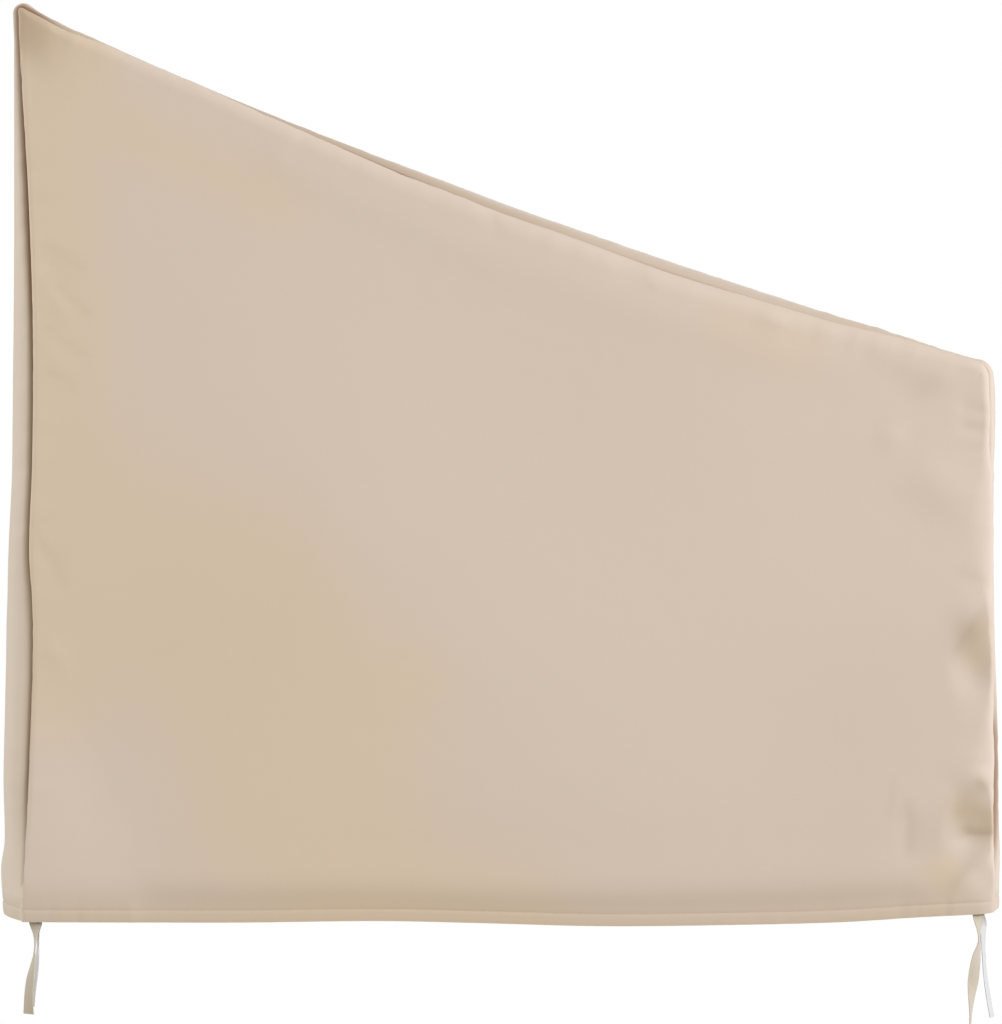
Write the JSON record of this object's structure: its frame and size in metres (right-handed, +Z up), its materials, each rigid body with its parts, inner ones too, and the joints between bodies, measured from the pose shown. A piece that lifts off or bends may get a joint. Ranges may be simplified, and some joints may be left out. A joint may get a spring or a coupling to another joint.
{
  "type": "armchair cover",
  "caption": "Fitted cloth cover for a high-backed armchair: tall at the back, sloping down to a lower front, hollow and open below, with a stitched hem and hanging tape ties.",
  "frame": {"origin": "under the ridge at mid-width, where the top of the chair's back carries the cover", "axes": "+X from the chair's back to its front, +Y across the chair to its left side, +Z up"},
  "size_m": [1.0409, 0.8804, 1.0257],
  "materials": {
    "panel_cloth": "plain woven coated polyester, cream-beige with faint pink and yellow casts, soft sheen",
    "tie_tape": "narrow woven tape, tan, matt"
  },
  "bodies": {
    "root": {"centre_panel": "panel_cloth", "side_panel_right": "panel_cloth", "side_panel_left": "panel_cloth", "tie_back_right": "tie_tape", "tie_front_right": "tie_tape", "tie_back_left": "tie_tape", "tie_front_left": "tie_tape"}
  },
  "joints": []
}
